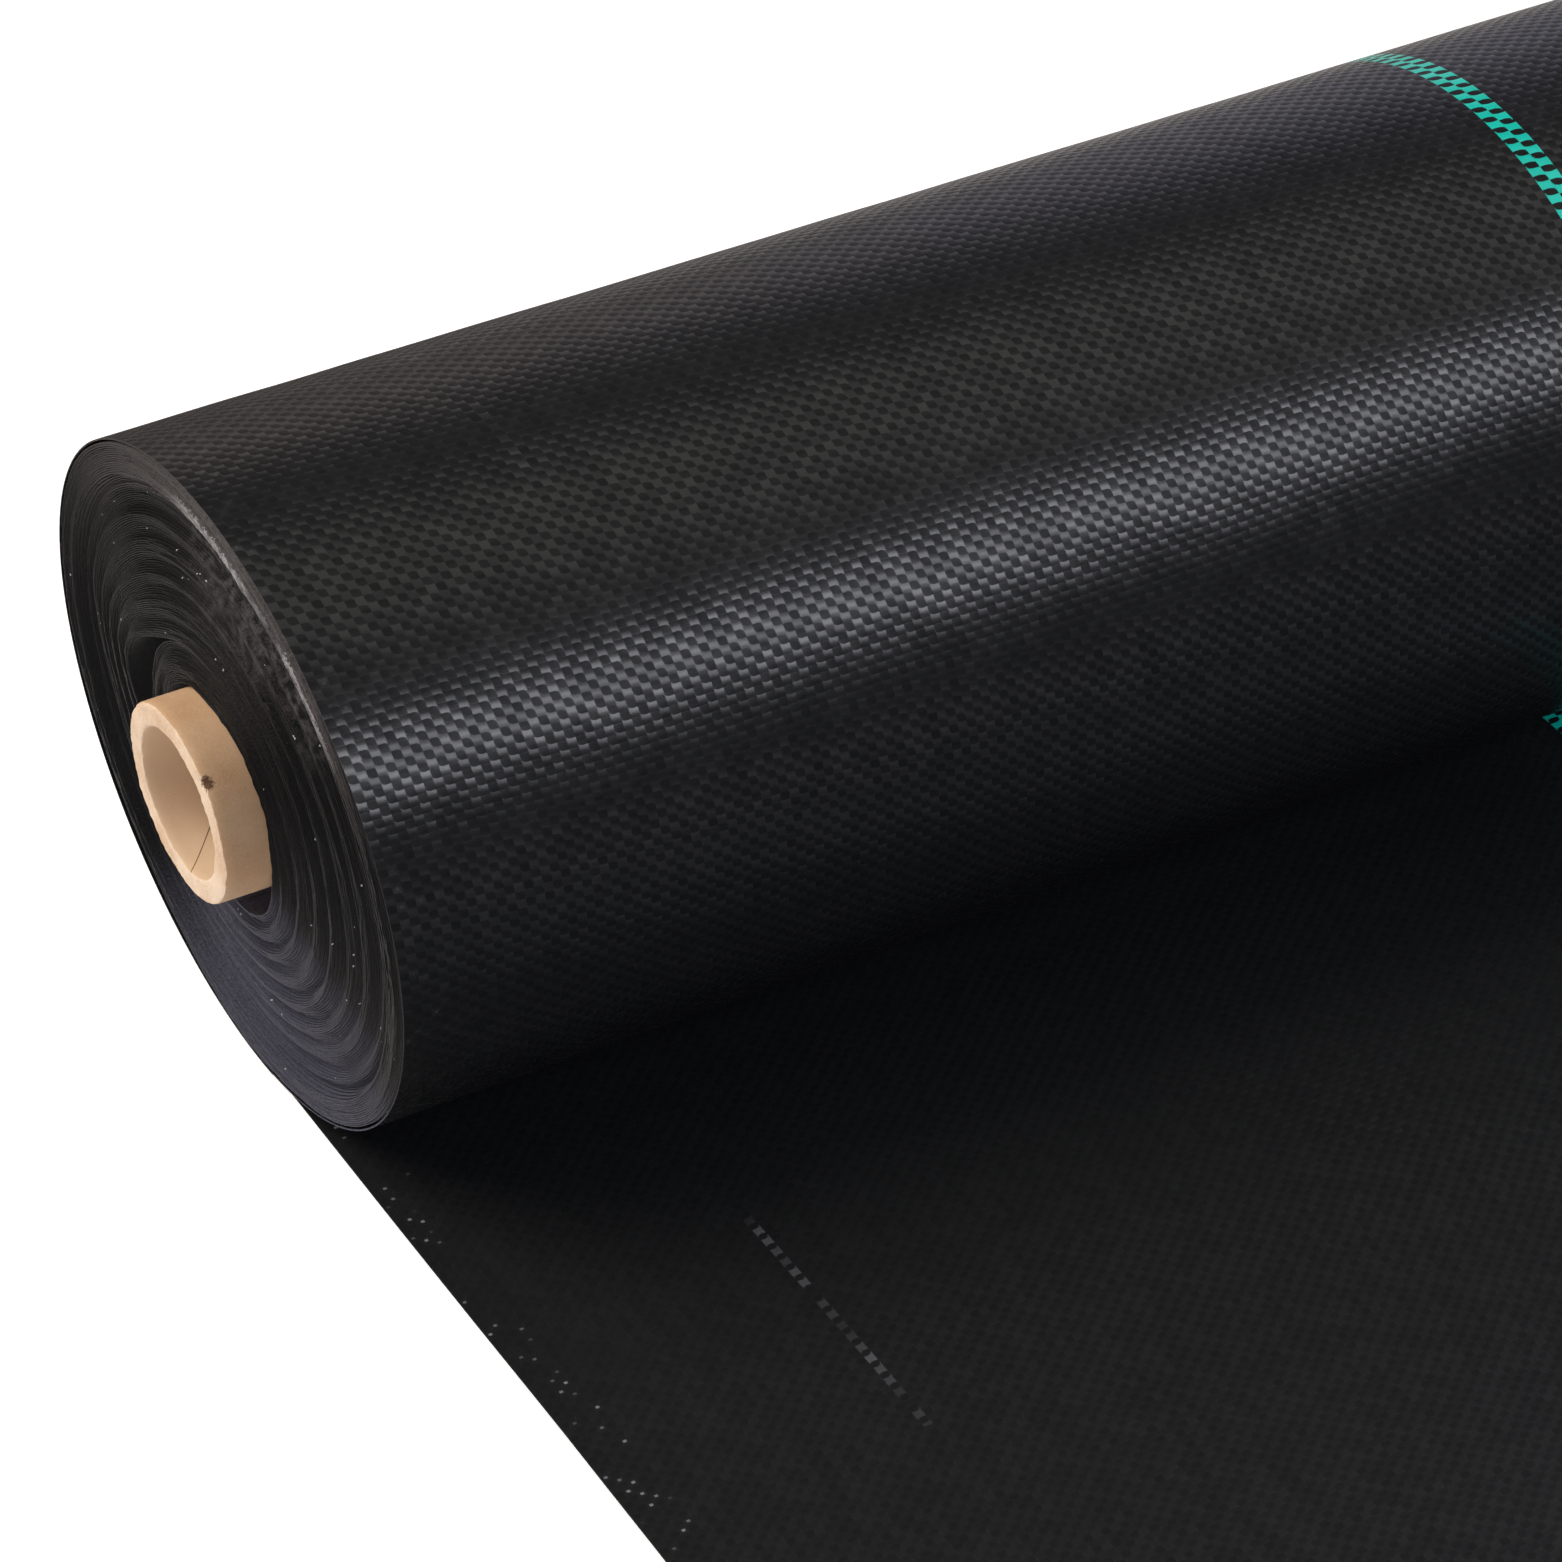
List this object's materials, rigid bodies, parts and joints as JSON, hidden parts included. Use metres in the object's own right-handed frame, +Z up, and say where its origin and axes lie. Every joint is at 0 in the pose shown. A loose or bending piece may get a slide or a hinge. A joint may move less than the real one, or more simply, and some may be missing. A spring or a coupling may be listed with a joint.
{
  "type": "geotextile roll",
  "caption": "Roll of black woven ground cloth with green guide stripes on a paper core, its free end laid flat in front of it.",
  "frame": {"origin": "on the ground, under the middle of the whole object's bounding box", "axes": "+X along the roll, +Y away from the laid end, +Z up"},
  "size_m": [1.2538, 0.6046, 0.2106],
  "materials": {
    "black_cloth": "woven flat plastic tape, soft satin",
    "green_tape": "woven flat plastic tape, soft satin",
    "kraft_paper": "brown kraft paper, matte"
  },
  "bodies": {
    "laid_end": {"laid_cloth": "black_cloth", "laid_stripe_left": "green_tape", "laid_stripe_right": "green_tape"},
    "roll": {"core_tube": "kraft_paper", "rolled_cloth": "black_cloth", "rolled_stripe_left": "green_tape", "rolled_stripe_right": "green_tape"}
  },
  "joints": [
    {"name": "roll_turn", "type": "hinge", "parent": "laid_end", "child": "roll", "pos_m": [0, 0.19771, 0.1065], "axis": [1, 0, 0], "continuous": true}
  ]
}
